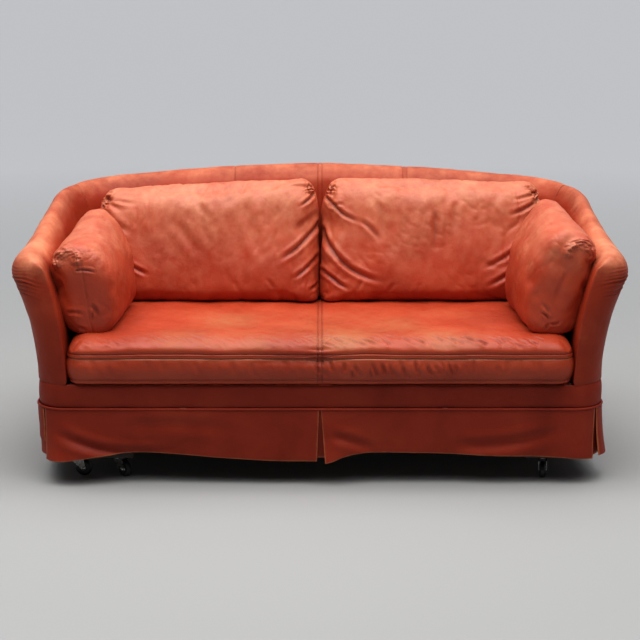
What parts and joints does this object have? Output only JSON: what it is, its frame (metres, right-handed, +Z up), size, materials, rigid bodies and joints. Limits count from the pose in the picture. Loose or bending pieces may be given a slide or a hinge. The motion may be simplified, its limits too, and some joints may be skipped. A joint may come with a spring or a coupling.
{
  "type": "sofa",
  "caption": "Worn leather sofa with a curved tub back and arms, loose seat, back and arm cushions, a pleated skirt and castors.",
  "frame": {"origin": "on the floor, under the middle of the sofa's overall plan", "axes": "+Z up, +X to the right as seen from the front, and the front faces -Y"},
  "size_m": [1.805, 0.8834, 0.8467],
  "materials": {
    "leather": "aniline cowhide, worn",
    "skirt_leather": "aniline cowhide, lined",
    "foam": "open-cell foam",
    "feather": "feather and down in cotton ticking",
    "deck_cloth": "platform cloth over felt",
    "lining": "black woven base cloth",
    "webbing": "elastic webbing",
    "beech": "planed beech",
    "plywood": "birch plywood",
    "castor_steel": "pressed steel, bright plated",
    "castor_rubber": "black hard rubber"
  },
  "bodies": {
    "sofa": {"arm_cover_left": "leather", "arm_cover_right": "leather", "back_cover": "leather", "base_cover": "leather", "seat_cushion_cover": "leather", "back_cushion_cover_left": "leather", "back_cushion_cover_right": "leather", "arm_cushion_cover_left": "leather", "arm_cushion_cover_right": "leather", "skirt_front_left": "skirt_leather", "skirt_front_right": "skirt_leather", "skirt_side_left": "skirt_leather", "skirt_side_right": "skirt_leather", "skirt_back": "skirt_leather", "skirt_pleat_front_left": "skirt_leather", "skirt_pleat_front_right": "skirt_leather", "skirt_pleat_front_centre": "skirt_leather", "arm_padding_left": "foam", "arm_padding_right": "foam", "back_padding": "foam", "seat_cushion_foam": "foam", "back_cushion_fill_left": "feather", "back_cushion_fill_right": "feather", "arm_cushion_fill_left": "feather", "arm_cushion_fill_right": "feather", "deck_pad": "deck_cloth", "base_lining": "lining", "seat_webbing": "webbing", "base_rail_front": "beech", "base_rail_back": "beech", "base_rail_left": "beech", "base_rail_right": "beech", "base_cross_rail": "beech", "corner_block_front_left": "beech", "corner_block_front_right": "beech", "corner_rail_rear_left": "beech", "corner_rail_rear_right": "beech", "arm_frame_left": "plywood", "arm_frame_right": "plywood", "back_frame": "plywood", "castor_front_left_outer_plate": "castor_steel", "castor_front_left_inner_plate": "castor_steel", "castor_front_right_plate": "castor_steel", "castor_rear_left_plate": "castor_steel", "castor_rear_right_plate": "castor_steel"},
    "castor_front_left_outer_swivel": {"castor_front_left_outer_fork": "castor_steel", "castor_front_left_outer_axle": "castor_steel"},
    "castor_front_left_outer_roller": {"castor_front_left_outer_wheel": "castor_rubber"},
    "castor_front_left_inner_swivel": {"castor_front_left_inner_fork": "castor_steel", "castor_front_left_inner_axle": "castor_steel"},
    "castor_front_left_inner_roller": {"castor_front_left_inner_wheel": "castor_rubber"},
    "castor_front_right_swivel": {"castor_front_right_fork": "castor_steel", "castor_front_right_axle": "castor_steel"},
    "castor_front_right_roller": {"castor_front_right_wheel": "castor_rubber"},
    "castor_rear_left_swivel": {"castor_rear_left_fork": "castor_steel", "castor_rear_left_axle": "castor_steel"},
    "castor_rear_left_roller": {"castor_rear_left_wheel": "castor_rubber"},
    "castor_rear_right_swivel": {"castor_rear_right_fork": "castor_steel", "castor_rear_right_axle": "castor_steel"},
    "castor_rear_right_roller": {"castor_rear_right_wheel": "castor_rubber"}
  },
  "joints": [
    {"name": "castor_front_left_outer_turn", "type": "hinge", "parent": "sofa", "child": "castor_front_left_outer_swivel", "pos_m": [-0.738, -0.352, 0.057], "axis": [0, 0, 1], "continuous": true},
    {"name": "castor_front_left_outer_roll", "type": "hinge", "parent": "castor_front_left_outer_swivel", "child": "castor_front_left_outer_roller", "pos_m": [-0.71413, -0.35451, 0.024], "axis": [0.1045, 0.9945, 0], "continuous": true},
    {"name": "castor_front_left_inner_turn", "type": "hinge", "parent": "sofa", "child": "castor_front_left_inner_swivel", "pos_m": [-0.608, -0.352, 0.057], "axis": [0, 0, 1], "continuous": true},
    {"name": "castor_front_left_inner_roll", "type": "hinge", "parent": "castor_front_left_inner_swivel", "child": "castor_front_left_inner_roller", "pos_m": [-0.58909, -0.36678, 0.024], "axis": [0.6157, 0.788, 0], "continuous": true},
    {"name": "castor_front_right_turn", "type": "hinge", "parent": "sofa", "child": "castor_front_right_swivel", "pos_m": [0.673, -0.352, 0.057], "axis": [0, 0, 1], "continuous": true},
    {"name": "castor_front_right_roll", "type": "hinge", "parent": "castor_front_right_swivel", "child": "castor_front_right_roller", "pos_m": [0.67049, -0.37587, 0.024], "axis": [0.9945, -0.1045, 0], "continuous": true},
    {"name": "castor_rear_left_turn", "type": "hinge", "parent": "sofa", "child": "castor_rear_left_swivel", "pos_m": [-0.685, 0.255, 0.057], "axis": [0, 0, 1], "continuous": true},
    {"name": "castor_rear_left_roll", "type": "hinge", "parent": "castor_rear_left_swivel", "child": "castor_rear_left_roller", "pos_m": [-0.673, 0.27579, 0.024], "axis": [-0.866, 0.5, 0], "continuous": true},
    {"name": "castor_rear_right_turn", "type": "hinge", "parent": "sofa", "child": "castor_rear_right_swivel", "pos_m": [0.685, 0.255, 0.057], "axis": [0, 0, 1], "continuous": true},
    {"name": "castor_rear_right_roll", "type": "hinge", "parent": "castor_rear_right_swivel", "child": "castor_rear_right_roller", "pos_m": [0.67373, 0.27619, 0.024], "axis": [-0.8829, -0.4695, 0], "continuous": true}
  ]
}
